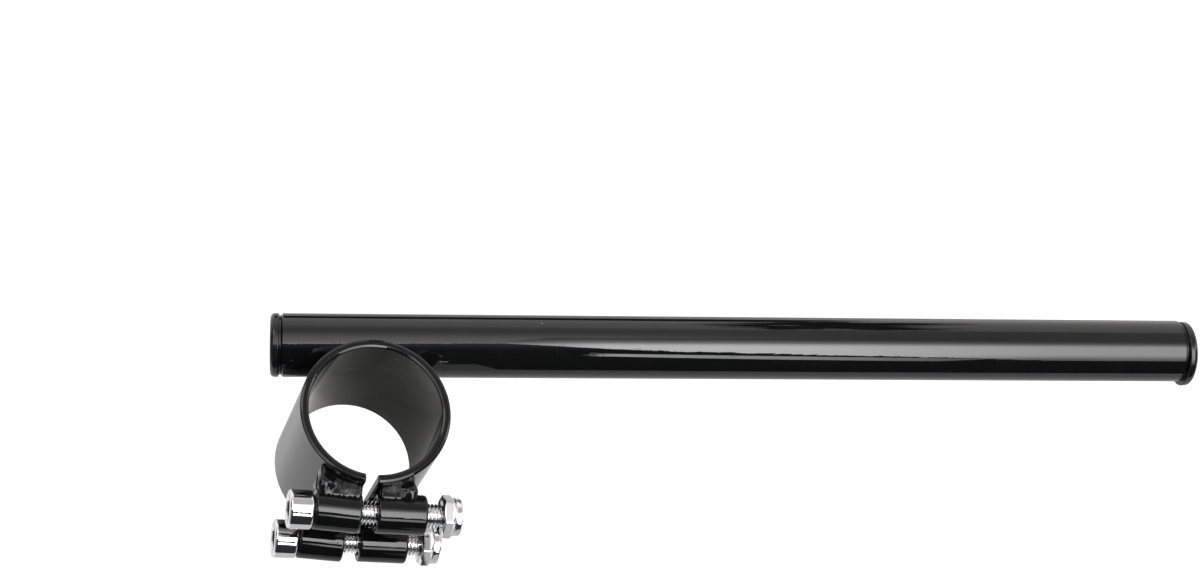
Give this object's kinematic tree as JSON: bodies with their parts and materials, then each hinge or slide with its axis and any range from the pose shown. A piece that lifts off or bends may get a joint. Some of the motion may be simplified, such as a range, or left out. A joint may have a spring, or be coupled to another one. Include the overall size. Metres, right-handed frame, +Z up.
{
  "type": "clip-on handlebar",
  "caption": "Motorcycle clip-on handlebar: a straight steel tube welded across a split tube clamp that is pinched on a fork leg by socket head bolts.",
  "frame": {"origin": "middle of the clamp bore, on its centre line", "axes": "+Z up the bore towards the rim that the picture shows, +X towards the grip end, +Y from the bore to the bar; the pinch slot is on the -Y side"},
  "size_m": [0.3299, 0.0851, 0.0884],
  "materials": {
    "gloss_black": "gloss black powder coat or enamel over steel",
    "chrome": "bright chrome plate over steel",
    "black_plastic": "moulded black plastic, half matt",
    "nylon": "plain white nylon"
  },
  "bodies": {
    "root": {"bar_weld": "gloss_black", "boss_lower_head_side": "gloss_black", "boss_lower_nut_side": "gloss_black", "boss_upper_head_side": "gloss_black", "boss_upper_nut_side": "gloss_black", "clamp_collar": "gloss_black", "clamp_end_plug": "black_plastic", "grip_end_plug": "black_plastic", "handlebar_tube": "gloss_black", "lock_insert_lower": "nylon", "lock_insert_upper": "nylon", "lock_nut_lower": "chrome", "lock_nut_upper": "chrome", "pinch_bolt_lower": "chrome", "pinch_bolt_upper": "chrome", "weld_lower_head_side_top": "gloss_black", "weld_lower_head_side_under": "gloss_black", "weld_lower_nut_side_top": "gloss_black", "weld_lower_nut_side_under": "gloss_black", "weld_upper_head_side_top": "gloss_black", "weld_upper_head_side_under": "gloss_black", "weld_upper_nut_side_top": "gloss_black", "weld_upper_nut_side_under": "gloss_black"}
  },
  "joints": []
}
